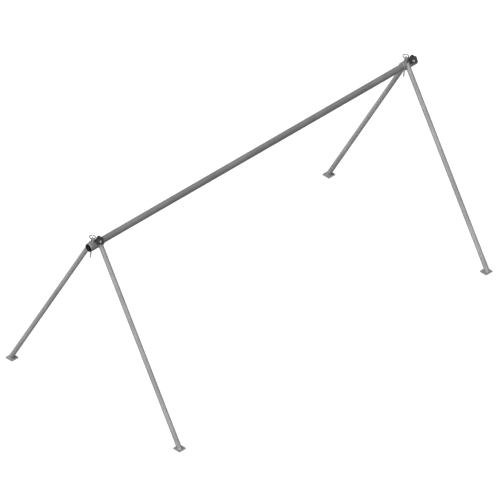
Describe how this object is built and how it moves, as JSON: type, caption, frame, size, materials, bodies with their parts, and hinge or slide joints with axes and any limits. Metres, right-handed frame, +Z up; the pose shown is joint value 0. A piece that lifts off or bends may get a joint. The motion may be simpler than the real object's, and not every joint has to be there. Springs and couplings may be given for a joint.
{
  "type": "portable bike rack",
  "caption": "Portable rack: a high round crossbar on two A-frames of tube, on which machines hang by their seats. Ringed lock pins and clamp knobs let the legs fold.",
  "frame": {"origin": "on the ground, under the middle of the crossbar", "axes": "+X along the crossbar from the near end to the far end, +Z up, -Y towards the side that the knobs face"},
  "size_m": [2.538, 1.3164, 1.1355],
  "materials": {
    "tube_steel": "silver-grey powder coat, satin",
    "collar_steel": "silver-grey powder coat, satin",
    "plug_steel": "silver-grey powder coat over a ground weld",
    "foot_steel": "silver-grey powder coat, worn at the edges",
    "bush_steel": "zinc plated, turned",
    "boss_steel": "black coat over turned steel",
    "pin_steel": "zinc plated, turned",
    "ring_wire": "blackened spring wire",
    "stud_steel": "zinc plated, turned",
    "cap_plastic": "black moulded plastic",
    "knob_plastic": "dark grey moulded plastic, satin"
  },
  "bodies": {
    "frame": {"crossbar": "tube_steel", "near_end_cap": "cap_plastic", "near_outer_collar": "collar_steel", "near_pin_bush": "bush_steel", "near_outer_leg": "tube_steel", "near_outer_leg_plug": "plug_steel", "near_outer_foot": "foot_steel", "far_end_cap": "cap_plastic", "far_inner_collar": "collar_steel", "far_pin_bush": "bush_steel", "far_inner_leg": "tube_steel", "far_inner_leg_plug": "plug_steel", "far_inner_foot": "foot_steel"},
    "near_swing_leg": {"near_inner_collar": "collar_steel", "near_clamp_boss": "boss_steel", "near_inner_leg": "tube_steel", "near_inner_leg_plug": "plug_steel", "near_inner_foot": "foot_steel"},
    "near_stud": {"near_knob_stud": "stud_steel"},
    "near_knob_grip": {"near_knob": "knob_plastic"},
    "near_pin": {"near_pin_shaft": "pin_steel", "near_pin_head": "pin_steel"},
    "near_ring": {"near_pull_ring": "ring_wire"},
    "far_swing_leg": {"far_outer_collar": "collar_steel", "far_clamp_boss": "boss_steel", "far_outer_leg": "tube_steel", "far_outer_leg_plug": "plug_steel", "far_outer_foot": "foot_steel"},
    "far_stud": {"far_knob_stud": "stud_steel"},
    "far_knob_grip": {"far_knob": "knob_plastic"},
    "far_pin": {"far_pin_shaft": "pin_steel", "far_pin_head": "pin_steel"},
    "far_ring": {"far_pull_ring": "ring_wire"}
  },
  "joints": [
    {"name": "near_leg_fold", "type": "hinge", "parent": "frame", "child": "near_swing_leg", "pos_m": [-1.1939, 0, 1.075], "axis": [1, 0, 0], "range_deg": [0, 57]},
    {"name": "near_stud_travel", "type": "slide", "parent": "near_swing_leg", "child": "near_stud", "axis": [0, -0.5878, 0.809], "range_m": [0, 0.003]},
    {"name": "near_knob_turn", "type": "hinge", "parent": "near_stud", "child": "near_knob_grip", "pos_m": [-1.2094, -0.02586, 1.1106], "axis": [0, -0.5878, 0.809], "range_deg": [0, 728]},
    {"name": "near_pin_pull", "type": "slide", "parent": "frame", "child": "near_pin", "axis": [0, -0.1392, 0.9903], "range_m": [0, 0.115]},
    {"name": "near_ring_swing", "type": "hinge", "parent": "near_pin", "child": "near_ring", "pos_m": [-1.2441, -0.00738, 1.12748], "axis": [0.766, -0.6365, -0.0895], "range_deg": [0, 170]},
    {"name": "far_leg_fold", "type": "hinge", "parent": "frame", "child": "far_swing_leg", "pos_m": [1.2441, 0, 1.075], "axis": [1, 0, 0], "range_deg": [0, 32]},
    {"name": "far_stud_travel", "type": "slide", "parent": "far_swing_leg", "child": "far_stud", "axis": [0, -0.5878, 0.809], "range_m": [0, 0.003]},
    {"name": "far_knob_turn", "type": "hinge", "parent": "far_stud", "child": "far_knob_grip", "pos_m": [1.2286, -0.02586, 1.1106], "axis": [0, -0.5878, 0.809], "range_deg": [0, 728]},
    {"name": "far_pin_pull", "type": "slide", "parent": "frame", "child": "far_pin", "axis": [0, -0.1392, 0.9903], "range_m": [0, 0.115]},
    {"name": "far_ring_swing", "type": "hinge", "parent": "far_pin", "child": "far_ring", "pos_m": [1.1939, -0.00738, 1.12748], "axis": [0.766, -0.6365, -0.0895], "range_deg": [0, 170]}
  ],
  "couplings": [
    {"joint": "near_knob_turn", "follows": "near_stud_travel", "rad_per_m": 4188.8},
    {"joint": "far_knob_turn", "follows": "far_stud_travel", "rad_per_m": 4188.8}
  ]
}
